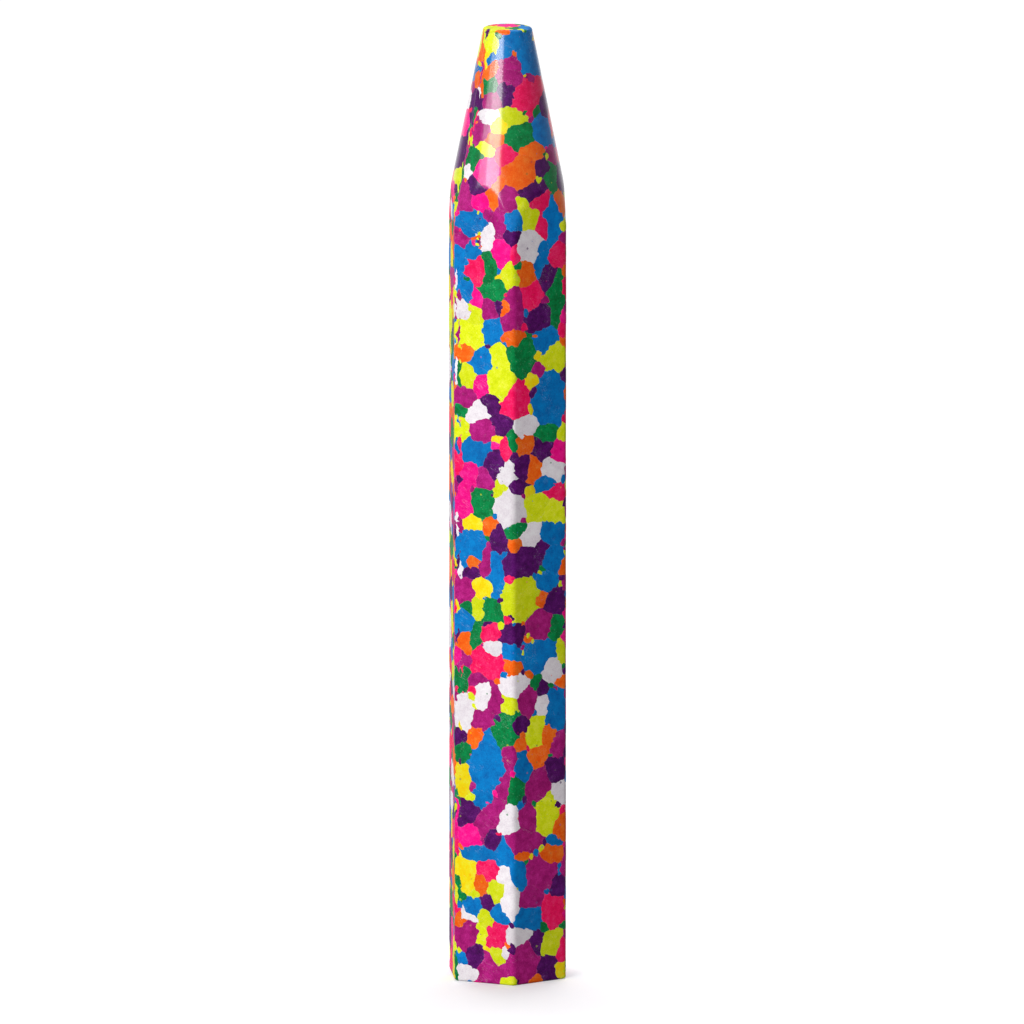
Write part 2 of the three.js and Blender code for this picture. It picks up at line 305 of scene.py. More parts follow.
# The mould's parting line runs up two opposite corners. There the wax is smeared upwards.
parting_turns = (-60, 120)
smear_reach = 0.9
smear_step = 1.6
smear_margin = 1
smear_widths = (0.35, 0.8)
smear_lengths = (2.5, 7)

# The random granules: the half width, from large to small, and how many lie in what room is
# left, then how their sizes, proportions and leans vary. White ones are never small.
fills = ((2.1, 45), (1.7, 120), (1.4, 260), (1.1, 400), (0.85, 500), (0.6, 450), (0.42, 300))
room_share = 0.8
size_spread = (0.88, 1.12)
stretch_spread = (0.8, 1.3)
widest_lean = 40
same_wax_chance = 0.12
least_white = 1.2
room_window = 9
open_room = 10.0

# A large granule laps over its neighbours a little. Crumbs lie right on top, beside the lines.
least_lapping = 1.1
largest_lap = 0.45
crumbs_on_top = 130
crumb_room = (-0.12, 0.3)
crumb_halves = (0.18, 0.38)
crumb_lap = 0.9
lap_sharpness = 0.07
exponent_limit = 30

# Near the tip, left of the front corner, the small granules are orange where they were violet.
orange_reach = 5
orange_largest = 0.8

# The pressed outlines are lobed, and crumble finely along their edges. Each lobe has its size
# and its reach, and the places of the larger granules follow the widest lobe alone.
lobes = ((2.6, 0.5), (1.1, 0.32), (0.55, 0.24), (0.36, 0.16))
steady_size = 1.5

seats = []


def add_seat(wax, centre, outward, across, halves, piece=None):
    """Keeps a granule's centre and the axes that its size is measured along."""
    along = outward.cross(across).normalized()
    axes = np.array([across / halves[0], along / halves[1], outward / halves[2]])
    size = math.sqrt(halves[0] * halves[1])
    seat = {"wax": wax, "centre": np.array(centre), "axes": axes, "size": size, "piece": piece}
    seats.append(seat)


def add_side_seat(wax, turn, share, wide, tall, lean=0, piece=None):
    """A seat on the side, whose way out lies between straight out and square to its flat."""
    angle = front_angle + math.radians(turn)
    height = share * stick_length
    radius = float(skin_radius(angle, height))
    centre = Vector((radius * math.cos(angle), radius * math.sin(angle), height))
    flat_angle = side_angle * round(angle / side_angle)
    on_cone = float(cone_radius(height)) < float(bar_radius(angle, 0))
    way = angle if on_cone else angle + (flat_angle - angle) * face_normal_share
    outward = Vector((math.cos(way), math.sin(way), 0))
    level = Vector((-outward.y, outward.x, 0))
    tilt = math.radians(lean)
    across = level * math.cos(tilt) + Vector((0, 0, 1)) * math.sin(tilt)
    depth = min(granule_depth, side_depth_share * (wide + tall) / 2)
    add_seat(wax, centre, outward, across, (wide / 2, tall / 2, depth), piece)


def add_node_seat(name, points):
    """A seat measured from the CAD solid: its middle on the skin, its width and its height."""
    cloud = np.array(points)
    middle = (cloud.min(axis=0) + cloud.max(axis=0)) / 2
    wax = name.split("_")[0]
    if min(cloud[:, 2].max(), stick_length - cloud[:, 2].min()) < end_reach:
        up = 1 if middle[2] > stick_length / 2 else -1
        centre = Vector((middle[0], middle[1], stick_length if up > 0 else 0))
        half_wide, half_deep = np.ptp(cloud[:, :2], axis=0) / 2
        halves = (half_wide, half_deep, granule_depth)
        add_seat(wax, centre, Vector((0, 0, up)), Vector((1, 0, 0)), halves, name)
        return
    turn = math.degrees(math.atan2(middle[1], middle[0]) - front_angle)
    angle = front_angle + math.radians(turn)
    level = np.array([-math.sin(angle), math.cos(angle)])
    wide = np.ptp(cloud[:, :2] @ level)
    tall = np.ptp(cloud[:, 2])
    tilt = np.cov(np.stack([cloud[:, :2] @ level, cloud[:, 2]]))
    lean = math.degrees(0.5 * math.atan2(2 * tilt[0, 1], tilt[0, 0] - tilt[1, 1]))
    slanted = wide > slanted_ratio * tall and abs(lean) > least_lean
    add_side_seat(wax, turn, middle[2] / stick_length, wide, tall, lean if slanted else 0, name)


for name, points in large_granules.items():
    add_node_seat(name, points)
for wax, rows in middle_granules.items():
    for row in rows:
        add_side_seat(wax, *row)
for wax, (right, back, wide, tall) in tip_face_granules.items():
    centre = Vector((right, back, stick_length))
    halves = (wide / 2, tall / 2, granule_depth)
    add_seat(wax, centre, Vector((0, 0, 1)), Vector((1, 0, 0)), halves)

waxes = list(wax_shares)
shares = np.array(list(wax_shares.values())) / sum(wax_shares.values())
for parting in parting_turns:
    parting_angle = front_angle + math.radians(parting)
    for height in np.arange(smear_margin, stick_length - smear_margin, smear_step):
        reach = math.degrees(smear_reach / float(skin_radius(parting_angle, height)))
        turn = parting + rng.uniform(-reach, reach)
        wide = rng.uniform(*smear_widths)
        tall = rng.uniform(*smear_lengths)
        add_side_seat(rng.choice(waxes, p=shares), turn, height / stick_length, wide, tall)

for _ in range(clutch_count):
    turn = rng.normal(*clutch_turn)
    share = rng.normal(*clutch_share)
    wide, tall = rng.uniform(*clutch_widths, 2)
    wax = rng.choice(waxes, p=shares)
    add_side_seat(wax, turn, share, wide, tall, rng.uniform(-widest_lean, widest_lean))


def nearness(points, which):
    """How many half sizes lie between each point and each of the named seats."""
    centres = np.array([seats[index]["centre"] for index in which])
    axes = np.array([seats[index]["axes"] for index in which])
    offsets = points[:, None, :] - centres[None, :, :]
    return np.linalg.norm(np.einsum("sij,psj->psi", axes, offsets), axis=2)


def take_room(index):
    """Lowers the room left round a seat to the distance from its outline."""
    seat = seats[index]
    beside = np.abs(skin_points[:, 2] - seat["centre"][2]) < room_window
    offsets = skin_points[beside] - seat["centre"]
    distance = (np.linalg.norm(offsets @ seat["axes"].T, axis=1) - 1) * seat["size"]
    room[beside] = np.minimum(room[beside], distance)


def add_random_seat(spot, half):
    """Adds a granule at the spot, of another wax than the ones beside it."""
    heights = np.array([seat["centre"][2] for seat in seats])
    near = np.flatnonzero(np.abs(heights - spot[2]) < room_window)
    sizes = np.array([seats[index]["size"] for index in near])
    gaps = (nearness(spot[None, :], near)[0] - 1) * sizes
    beside = {seats[near[index]]["wax"] for index in np.argsort(gaps)[:3]}
    wax = rng.choice(waxes, p=shares)
    while (wax in beside and rng.uniform() > same_wax_chance) or (wax == "white" and half < least_white):
        wax = rng.choice(waxes, p=shares)
    stretch = rng.uniform(*stretch_spread)
    wide, tall = 2 * half * stretch, 2 * half / stretch
    if spot[2] <= 0 or spot[2] >= stick_length:
        up = Vector((0, 0, 1 if spot[2] > 0 else -1))
        way = rng.uniform(0, math.tau)
        across = Vector((math.cos(way), math.sin(way), 0))
        halves = (wide / 2, tall / 2, min(granule_depth, half * end_depth_share))
        add_seat(wax, Vector(spot), up, across, halves)
    else:
        turn = math.degrees(math.atan2(spot[1], spot[0]) - front_angle)
        lean = rng.uniform(-widest_lean, widest_lean)
        add_side_seat(wax, turn, spot[2] / stick_length, wide, tall, lean)


# The skin's points crowd towards the middle of both ends, so there only a share of them is open.
room = np.full(len(skin_points), open_room)
from_axis = np.hypot(skin_points[:, 0], skin_points[:, 1])
room[rng.uniform(size=len(room)) > from_axis / tip_radius] = 0
for index in range(len(seats)):
    take_room(index)
for half, count in fills:
    for _ in range(count):
        spots = np.flatnonzero(room > room_share * half)
        if len(spots) == 0:
            break
        add_random_seat(skin_points[rng.choice(spots)], half * rng.uniform(*size_spread))
        take_room(len(seats) - 1)
for seat in seats:
    seat["lap"] = rng.uniform(0, largest_lap) if seat["size"] > least_lapping else 0.0
for _ in range(crumbs_on_top):
    spots = np.flatnonzero((room > crumb_room[0]) & (room < crumb_room[1]))
    add_random_seat(skin_points[rng.choice(spots)], rng.uniform(*crumb_halves))
    seats[-1]["lap"] = crumb_lap
    take_room(len(seats) - 1)
for seat in seats:
    near_tip = seat["centre"][2] > stick_length - orange_reach and seat["centre"][0] < 0
    if near_tip and seat["size"] < orange_largest and seat["wax"] == "violet":
        seat["wax"] = "orange"


def lobed(point, count):
    """Shifts a point by the lobes of the outlines, from the widest on."""
    place = Vector(point)
    shift = Vector((0, 0, 0))
    for size, reach in lobes[:count]:
        shift += noise.noise_vector(place / size) * reach
    return place + shift


for seat in seats:
    seat["centre"] = np.array(lobed(seat["centre"], 2 if seat["size"] < steady_size else 1))
warped = np.array([lobed(point, len(lobes)) for point in skin_points])


def claim(distance, laps):
    """A granule's claim on a point: its distance, less where it laps over its neighbours."""
    outside = np.clip((distance - 1) / lap_sharpness, -exponent_limit, exponent_limit)
    return distance - laps / (1 + np.exp(outside))


seat_heights = np.array([seat["centre"][2] for seat in seats])
seat_laps = np.array([seat["lap"] for seat in seats])
owners = np.zeros(len(warped), dtype=int)
edge_distance = np.zeros(len(warped))
slab = 4.0
for low in np.arange(-slab, stick_length + slab, slab):
    inside = np.flatnonzero((warped[:, 2] >= low) & (warped[:, 2] < low + slab))
    if len(inside) == 0:
        continue
    near = np.flatnonzero(np.abs(seat_heights - low - slab / 2) < slab / 2 + room_window)
    distance = claim(nearness(warped[inside], near), seat_laps[near])
    order = np.argsort(distance, axis=1)[:, :2]
    rows = np.arange(len(inside))
    first = distance[rows, order[:, 0]]
    second = distance[rows, order[:, 1]]
    owners[inside] = near[order[:, 0]]
    sizes = np.array([seats[index]["size"] for index in near])
    edge_distance[inside] = (second - first) * sizes[order].mean(axis=1) / 2

# The lines between granules: each skin edge whose ends belong to two granules is cut where
# they meet, and the cuts are joined across the triangles. Halving finds the place of a cut. A
# triangle that is cut on all three sides has six corners, and gets a point in its middle.
halvings = 5
cut_limits = (0.1, 0.9)
ends = np.array([corner_numbers(edge) for edge in skin.edges])
crossing = np.flatnonzero(owners[ends[:, 0]] != owners[ends[:, 1]])
seat_centres = np.array([seat["centre"] for seat in seats])
seat_axes = np.array([seat["axes"] for seat in seats])


def own_claim(points, which):
    """The claim on each point of the one seat that goes with it."""
    offsets = points - seat_centres[which]
    distance = np.linalg.norm(np.einsum("eij,ej->ei", seat_axes[which], offsets), axis=1)
    return claim(distance, seat_laps[which])


start, end = ends[crossing].T
lowest = np.zeros(len(crossing))
highest = np.ones(len(crossing))
for _ in range(halvings):
    share = (lowest + highest) / 2
    points = warped[start] + (warped[end] - warped[start]) * share[:, None]
    with_start = own_claim(points, owners[start]) < own_claim(points, owners[end])
    lowest = np.where(with_start, share, lowest)
    highest = np.where(with_start, highest, share)
cut_share = np.clip((lowest + highest) / 2, *cut_limits)

skin.edges.ensure_lookup_table()
skin.verts.ensure_lookup_table()
to_cut = [skin.edges[index] for index in crossing]
starts = [skin.verts[index] for index in start]
line_points = []
for edge, vert, share in zip(to_cut, starts, cut_share):
    line_points.append(bmesh.utils.edge_split(edge, vert, float(share))[1])
cut_all_round = [face for face in skin.faces if len(face.verts) == 6]
middles = bmesh.ops.poke(skin, faces=cut_all_round)["verts"]
bmesh.ops.connect_verts(skin, verts=line_points)
for vert in line_points + middles:
    vert[skin_number] = -1
skin.verts.index_update()
put_in_order(skin.faces)
skin.normal_update()
numbers = np.array([vert[skin_number] for vert in skin.verts])
on_line = numbers < 0

# The relief of the pressed surface: shallow lines between the granules, a slight lift to each
# granule, a slow wave from the mould and a thin ridge up its parting line. The cone is rubbed
# smooth, and the flat ends keep only the lines.
line_depth = 0.018
line_width = 0.14
granule_lift = 0.018
wave_height = 0.02
wave_size = 3.2
ridge_height = 0.07
ridge_width = 0.16
ridge_fade = 1
cone_smoothness = 0.93
cone_fade = 0.15
tip_fade = 0.3
end_band = 0.02

lifts = rng.uniform(-1, 1, len(seats))
places = np.array([vert.co for vert in skin.verts])
normals = np.array([vert.normal for vert in skin.verts])
seam = np.where(on_line, 1, np.exp(-edge_distance[numbers] / line_width))
relief = np.array([noise.noise(Vector(place) / wave_size) for place in places]) * wave_height
relief -= seam * line_depth
relief += (1 - seam) * lifts[owners[numbers]] * granule_lift
relief -= wave_height + granule_lift
angles = np.arctan2(places[:, 1], places[:, 0])
polish = np.clip((bar_radius(angles, 0) - cone_radius(places[:, 2])) / cone_fade, 0, 1)
polish *= np.clip((stick_length - places[:, 2]) / tip_fade, 0, 1)
relief *= 1 - cone_smoothness * polish
from_end = np.minimum(places[:, 2], stick_length - places[:, 2])
for parting in parting_turns:
    across = np.abs((angles - front_angle - math.radians(parting) + math.pi) % math.tau - math.pi)
    away = across * np.hypot(places[:, 0], places[:, 1])
    ridge = ridge_height * np.exp(-((away / ridge_width) ** 2))
    relief += ridge * np.clip(from_end / ridge_fade, 0, 1)
on_end = from_end < end_band
relief[on_end] = -seam[on_end] * line_depth
formed = places + normals * relief[:, None]

# The waxes: satin paraffin with strong pigments, slightly mottled, flecked and pitted, with
# a sheen on the cone. Each wax has its own colours in one family of materials.
display_gamma = 2.2
tone_shift = 40


def srgb(red, green, blue):
    """A linear colour from its levels on a screen."""
    return tuple((value / 255) ** display_gamma for value in (red, green, blue)) + (1,)


def node(tree, kind, place=(0, 0), **settings):
    """A new node at a place in a tree, with its settings."""
    made = tree.nodes.new(kind)
    made.location = place
    for name, value in settings.items():
        setattr(made, name, value)
    return made


def wax_grain_group():
    """Masks and heights that every wax shares: mottling, pale flecks, specks, pale marks along the lines
    that are partly painted highlight, pits and scratches.
    """
    group = bpy.data.node_groups.new("wax_grain", "ShaderNodeTree")
    sockets = group.interface
    for name in ("Tone", "Seam"):
        sockets.new_socket(name=name, in_out="INPUT", socket_type="NodeSocketFloat")
    for name in ("Mottle", "Fleck", "Speck", "Speck colour", "Line", "Scratch", "Height"):
        sockets.new_socket(name=name, in_out="OUTPUT", socket_type="NodeSocketFloat")
    inputs = node(group, "NodeGroupInput")
    outputs = node(group, "NodeGroupOutput")
    link = group.links.new
    coordinates = node(group, "ShaderNodeTexCoord")
    scaled = node(group, "ShaderNodeVectorMath", operation="SCALE")
    scaled.inputs["Scale"].default_value = 1 / mm
    link(coordinates.outputs["Object"], scaled.inputs[0])

    def math_node(operation, first, second):
        made = node(group, "ShaderNodeMath", operation=operation)
        for socket, value in zip(made.inputs, (first, second)):
            if isinstance(value, (int, float)):
                socket.default_value = value
            else:
                link(value, socket)
        return made.outputs[0]

    def noise_node(scale, detail, roughness=0.5, vector=None):
        made = node(group, "ShaderNodeTexNoise", noise_dimensions="4D")
        made.inputs["Scale"].default_value = scale
        made.inputs["Detail"].default_value = detail
        made.inputs["Roughness"].default_value = roughness
        link(vector or scaled.outputs[0], made.inputs["Vector"])
        link(math_node("MULTIPLY", inputs.outputs["Tone"], tone_shift), made.inputs["W"])
        return made.outputs["Fac"]

    def ramp(value, low, high):
        made = node(group, "ShaderNodeMapRange", clamp=True)
        made.inputs["From Min"].default_value = low
        made.inputs["From Max"].default_value = high
        link(value, made.inputs["Value"])
        return made.outputs["Result"]

    def cell_nodes(scale):
        """Cells of a number per millimetre: the distance from their middles, and three chances."""
        cells = node(group, "ShaderNodeTexVoronoi", feature="F1")
        cells.inputs["Scale"].default_value = scale
        link(scaled.outputs[0], cells.inputs["Vector"])
        split = node(group, "ShaderNodeSeparateColor")
        link(cells.outputs["Color"], split.inputs[0])
        return cells.outputs["Distance"], split.outputs

    # Soft mottling with fine pepper in it, and pale flecks.
    mottle = noise_node(1.1, 5, 0.62)
    pepper = noise_node(7, 3, 0.7)
    both = math_node("ADD", math_node("MULTIPLY", mottle, 0.55), math_node("MULTIPLY", pepper, 0.45))
    link(ramp(both, 0.37, 0.63), outputs.inputs["Mottle"])
    link(ramp(noise_node(3.4, 4, 0.75), 0.59, 0.7), outputs.inputs["Fleck"])

    # Round specks of the other waxes, in a few of the cells.
    from_speck, chance = cell_nodes(1.5)
    speck = math_node("LESS_THAN", from_speck, math_node("MULTIPLY", chance[1], 0.26))
    rare = math_node("GREATER_THAN", chance[0], 0.86)
    link(math_node("MULTIPLY", speck, rare), outputs.inputs["Speck"])
    link(chance[2], outputs.inputs["Speck colour"])

    # Pale along parts of the lines between granules: partly pale crumbs, partly a painted highlight
    # where the raised edges catch the light.
    line_noise = noise_node(4.6, 3, 0.65)
    sharp_seam = math_node("POWER", inputs.outputs["Seam"], 2.5)
    link(math_node("MULTIPLY", sharp_seam, ramp(line_noise, 0.54, 0.62)), outputs.inputs["Line"])

    # Pores, in a quarter of smaller cells.
    from_pore, chance = cell_nodes(2.6)
    pore_depth = math_node("SUBTRACT", 1, ramp(from_pore, 0.06, 0.2))
    pore = math_node("MULTIPLY", pore_depth, math_node("GREATER_THAN", chance[0], 0.75))

    # Slanting hairline scratches, in patches.
    slant = node(group, "ShaderNodeVectorRotate", rotation_type="EULER_XYZ")
    slant.inputs["Rotation"].default_value = (math.radians(35), math.radians(50), 0)
    link(scaled.outputs[0], slant.inputs["Vector"])
    stretch = node(group, "ShaderNodeVectorMath", operation="MULTIPLY")
    stretch.inputs[1].default_value = (2.2, 2.2, 0.35)
    link(slant.outputs[0], stretch.inputs[0])
    scratch_noise = noise_node(1.2, 3, 0.6, stretch.outputs[0])
    off_line = math_node("ABSOLUTE", math_node("SUBTRACT", scratch_noise, 0.5), 0)
    unscratched = ramp(off_line, 0.0, 0.014)
    scratched_patch = ramp(noise_node(0.45, 2), 0.56, 0.64)
    hairline = math_node("SUBTRACT", 1, unscratched)
    link(math_node("MULTIPLY", hairline, scratched_patch), outputs.inputs["Scratch"])

    # The height: grain and mottling, with the pores and the scratches sunk into it.
    grain = noise_node(4.5, 5, 0.6)
    height = math_node("ADD", math_node("MULTIPLY", grain, 0.5), math_node("MULTIPLY", mottle, 0.6))
    height = math_node("SUBTRACT", height, math_node("MULTIPLY", pore, 0.8))
    height = math_node("ADD", height, math_node("MULTIPLY", unscratched, 0.12))
    link(height, outputs.inputs["Height"])
    return group


wax_grain = wax_grain_group()

# Lit colour, a darker and a lighter shade of it, the flecks' colour, and the shares of
# flecks and of specks of the other waxes.
wax_colours = {
    "blue": ((0, 120, 196), (0, 96, 170), (0, 138, 214), (120, 186, 230), 0.1, 0.25),
    "green": ((0, 128, 68), (0, 96, 46), (0, 156, 84), (150, 214, 176), 0.42, 0.45),
    "lemon": ((226, 238, 24), (206, 222, 0), (242, 247, 70), (252, 252, 200), 0.4, 0.5),
    "yellow": ((250, 228, 18), (255, 202, 0), (246, 240, 70), (255, 160, 40), 0.5, 0.4),
    "orange": ((255, 106, 24), (246, 82, 8), (255, 134, 52), (255, 190, 120), 0.3, 0.3),
    "red": ((255, 24, 98), (232, 4, 76), (255, 66, 124), (255, 160, 186), 0.3, 0.35),
    "rose": ((255, 12, 140), (234, 0, 120), (255, 60, 160), (255, 160, 210), 0.2, 0.25),
    "magenta": ((175, 30, 119), (142, 16, 96), (200, 48, 144), (228, 140, 208), 0.1, 0.2),
    "violet": ((84, 17, 97), (58, 8, 68), (108, 34, 122), (176, 130, 196), 0.12, 0.25),
    "white": ((243, 235, 240), (224, 214, 222), (252, 249, 251), (196, 180, 196), 0.3, 0.7),
}
wax_roughness = 0.5
wax_specular = 0.08
polish_roughness = 0.17
polish_ior = 1.33
mottled_roughness = 0.08
bump_depth = 0.00002
# The pale marks along the granule lines are partly crumbs and partly a painted highlight on the edges.
line_crumb_and_highlight_share = 0.3
scratch_share = 0.3
paleness = 0.5
tone_levels = (0.88, 1.06)


def wax_steps(tree, names, place=(0, 0)):
    """A ramp that steps through the lit colours of the named waxes."""
    ramp = node(tree, "ShaderNodeValToRGB", place)
    ramp.color_ramp.interpolation = "CONSTANT"
    steps = ramp.color_ramp.elements
    steps[0].color = srgb(*wax_colours[names[0]][0])
    steps[1].color = srgb(*wax_colours[names[-1]][0])
    steps[1].position = 1 - 1 / len(names)
    for index, name in enumerate(names[1:-1], start=1):
        steps.new(index / len(names)).color = srgb(*wax_colours[name][0])
    return ramp


def wax_material(wax):
    """The satin wax of one colour, with a thin clear sheen where the cone is rubbed."""
    lit, dark, light, fleck_colour, fleck_share, speck_share = wax_colours[wax]
    material = bpy.data.materials.new(f"{wax}_pressed_wax")
    material.use_nodes = True
    tree = material.node_tree
    tree.nodes.clear()
    link = tree.links.new
    output = node(tree, "ShaderNodeOutputMaterial", (1400, 0))
    shader = node(tree, "ShaderNodeBsdfPrincipled", (1100, 0))
    link(shader.outputs[0], output.inputs[0])
    tone = node(tree, "ShaderNodeAttribute", (-900, 200), attribute_name="tone")
    seam_mask = node(tree, "ShaderNodeAttribute", (-900, 0), attribute_name="seam")
    polish_mask = node(tree, "ShaderNodeAttribute", (-900, -200), attribute_name="polish")
    grain = node(tree, "ShaderNodeGroup", (-650, 100), node_tree=wax_grain)
    link(tone.outputs["Fac"], grain.inputs["Tone"])
    link(seam_mask.outputs["Fac"], grain.inputs["Seam"])

    def mix(factor, first, second, place):
        made = node(tree, "ShaderNodeMix", place, data_type="RGBA")
        sockets = (made.inputs["Factor"], made.inputs[6], made.inputs[7])
        for socket, value in zip(sockets, (factor, first, second)):
            if isinstance(value, (int, float, tuple)):
                socket.default_value = value
            else:
                link(value, socket)
        return made.outputs[2]

    def times(value, factor, place):
        made = node(tree, "ShaderNodeMath", place, operation="MULTIPLY")
        link(value, made.inputs[0])
        made.inputs[1].default_value = factor
        return made.outputs[0]

    shade = node(tree, "ShaderNodeValToRGB", (-350, 300))
    shade.color_ramp.elements[0].color = srgb(*dark)
    shade.color_ramp.elements[1].color = srgb(*light)
    middle = shade.color_ramp.elements.new(0.5)
    middle.color = srgb(*lit)
    link(grain.outputs["Mottle"], shade.inputs[0])
    flecked = times(grain.outputs["Fleck"], fleck_share, (-350, 60))
    colour = mix(flecked, shade.outputs[0], srgb(*fleck_colour), (-50, 250))
    others = [name for name in ("rose", "blue", "lemon", "green", "orange", "violet") if name != wax]
    speck_colour = wax_steps(tree, others, (-350, -150))
    link(grain.outputs["Speck colour"], speck_colour.inputs[0])
    specked = times(grain.outputs["Speck"], speck_share, (-50, 0))
    colour = mix(specked, colour, speck_colour.outputs[0], (200, 200))
    pale = tuple((1 - paleness) * value + paleness for value in srgb(*light)[:3]) + (1,)
    # Pale along the granule lines: partly pale crumbs, partly a painted highlight on the edges.
    line_crumbs_and_highlight = times(grain.outputs["Line"], line_crumb_and_highlight_share, (200, -50))
    colour = mix(line_crumbs_and_highlight, colour, pale, (450, 200))
    scratched = times(grain.outputs["Scratch"], scratch_share, (450, -50))
    colour = mix(scratched, colour, pale, (550, 200))
    level = node(tree, "ShaderNodeMapRange", (200, -250))
    level.inputs["To Min"].default_value = tone_levels[0]
    level.inputs["To Max"].default_value = tone_levels[1]
    link(tone.outputs["Fac"], level.inputs["Value"])
    final = node(tree, "ShaderNodeHueSaturation", (700, 200))
    link(level.outputs[0], final.inputs["Value"])
    link(colour, final.inputs["Color"])
    link(final.outputs[0], shader.inputs["Base Color"])
    uneven = times(grain.outputs["Mottle"], mottled_roughness, (700, -250))
    rough_sum = node(tree, "ShaderNodeMath", (900, -100), operation="ADD")
    rough_sum.inputs[1].default_value = wax_roughness
    link(uneven, rough_sum.inputs[0])
    link(rough_sum.outputs[0], shader.inputs["Roughness"])
    link(polish_mask.outputs["Fac"], shader.inputs["Coat Weight"])
    shader.inputs["Coat Roughness"].default_value = polish_roughness
    shader.inputs["Coat IOR"].default_value = polish_ior
    bump = node(tree, "ShaderNodeBump", (900, -300))
    bump.inputs["Distance"].default_value = bump_depth
    bump_level = node(tree, "ShaderNodeMapRange", (700, -450))
    bump_level.inputs["To Min"].default_value = 1
    bump_level.inputs["To Max"].default_value = 1 - cone_smoothness
    link(polish_mask.outputs["Fac"], bump_level.inputs["Value"])
    link(bump_level.outputs[0], bump.inputs["Strength"])
    link(grain.outputs["Height"], bump.inputs["Height"])
    link(bump.outputs[0], shader.inputs["Normal"])
    shader.inputs["Specular IOR Level"].default_value = wax_specular
    return material


wax_materials = {wax: wax_material(wax) for wax in waxes}

# The granule pieces: each large granule is a piece of its own, and the middle and fine ones
# of a wax are one piece. A piece is its patches of the skin, drawn inwards to closed solids.
tile_depth = 0.8
inner_width_share = 1 - tile_depth / apothem
inner_height_share = 1 - 2 * tile_depth / stick_length
middle_height = stick_length / 2
flat_enough = math.radians(4)
sharp_edge = math.radians(40)
tones = rng.uniform(0, 1, len(seats))


def piece_of(seat):
    """The name of the piece that a granule belongs to."""
    if seat["piece"]:
        return seat["piece"].replace("granule", "large_granule")
    return f"{seat['wax']}_fine_granules"


piece_names = [piece_of(seat) for seat in seats]
piece_faces = {}
for face in skin.faces:
    owner = next(owners[vert[skin_number]] for vert in face.verts if vert[skin_number] >= 0)
    piece_faces.setdefault(piece_names[owner], []).append((face, owner))


def towards_middle(place):
    """The place drawn in by the tile depth, towards the middle of the stick."""
    height = middle_height + (place[2] - middle_height) * inner_height_share
    return Vector((place[0] * inner_width_share, place[1] * inner_width_share, height))


def placed(name, data):
    """Puts a new object of the data into the scene."""
    made = bpy.data.objects.new(name, data)
    bpy.context.collection.objects.link(made)
    return made


def placed_mesh(name, mesh):
    """Puts a working mesh into the scene as an object, and frees the working mesh."""
    data = bpy.data.meshes.new(name)
    mesh.to_mesh(data)
    mesh.free()
    return placed(name, data)


def granule_solid(name, faces):
    """Copies the patches from the skin, draws them inwards and presses the relief into them."""
    solid = bmesh.new()
    seam_layer = solid.verts.layers.float.new("seam")
    polish_layer = solid.verts.layers.float.new("polish")
    tone_layer = solid.faces.layers.float.new("tone")
    copies = {}
    for face, owner in faces:
        corners = [vert.index for vert in face.verts]
        first = corners.index(min(corners))
        corners = corners[first:] + corners[:first]
        for index in corners:
            if index not in copies:
                copy = solid.verts.new(places[index])
                copy[seam_layer] = seam[index]
                copy[polish_layer] = polish[index]
                copies[index] = copy
        tile = solid.faces.new([copies[index] for index in corners])
        tile[tone_layer] = tones[owner]
        tile.smooth = True
    outer_faces = solid.faces[:]
    drawn = bmesh.ops.extrude_face_region(solid, geom=outer_faces, use_keep_orig=True)["geom"]
    inner_verts = [item for item in drawn if isinstance(item, bmesh.types.BMVert)]
    inner_faces = [item for item in drawn if isinstance(item, bmesh.types.BMFace)]
    for vert in inner_verts:
        vert.co = towards_middle(vert.co)
    for face in inner_faces:
        face.smooth = False
    solid.verts.index_update()
    inner_edges = sorted({edge for face in inner_faces for edge in face.edges}, key=corner_numbers)
    bmesh.ops.dissolve_limit(solid, angle_limit=flat_enough, verts=inner_verts, edges=inner_edges)
    for index, copy in copies.items():
        copy.co = formed[index]
    bmesh.ops.recalc_face_normals(solid, faces=solid.faces)
    for edge in solid.edges:
        if len(edge.link_faces) == 2 and edge.calc_face_angle(0) > sharp_edge:
            edge.smooth = False
    solid.verts.index_update()
    put_in_order(solid.faces)
    bmesh.ops.scale(solid, vec=(mm, mm, mm), verts=solid.verts)
    return placed_mesh(name, solid)


for name, faces in sorted(piece_faces.items()):
    wax = name.split("_")[0]
    piece = granule_solid(name, faces)
    piece.data.materials.append(wax_materials[wax])
    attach(piece, "root")
    large_node = name.replace("large_granule", "granule")
    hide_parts(large_node if "large" in name else "fine_granule_ground")
skin.free()

# The inner wax: the same granules go right through the stick, so under the skin's tiles it is
# one solid of all the waxes, crushed together. It is the spun form again, drawn in.
core_gap = 0.05
core_columns = 60
core_step = 2.0
core_cells_per_metre = 400
core = spun_skin(core_columns, core_step)
for vert in core.verts:
    vert.co = towards_middle(vert.co)
    vert.co.x *= 1 - core_gap / apothem
    vert.co.y *= 1 - core_gap / apothem
bmesh.ops.scale(core, vec=(mm, mm, mm), verts=core.verts)
inner_wax = placed_mesh("inner_wax", core)
core_material = bpy.data.materials.new("mixed_pressed_wax")
core_material.use_nodes = True
core_tree = core_material.node_tree
core_shader = core_tree.nodes["Principled BSDF"]
core_coordinates = node(core_tree, "ShaderNodeTexCoord")
core_cells = node(core_tree, "ShaderNodeTexVoronoi")
core_cells.inputs["Scale"].default_value = core_cells_per_metre
core_tree.links.new(core_coordinates.outputs["Object"], core_cells.inputs["Vector"])
core_split = node(core_tree, "ShaderNodeSeparateColor")
core_tree.links.new(core_cells.outputs["Color"], core_split.inputs[0])
core_colour = wax_steps(core_tree, waxes)
core_tree.links.new(core_split.outputs[0], core_colour.inputs[0])
core_tree.links.new(core_colour.outputs[0], core_shader.inputs["Base Color"])
core_shader.inputs["Roughness"].default_value = wax_roughness
inner_wax.data.materials.append(core_material)
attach(inner_wax, "root")
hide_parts("fine_granule_ground")

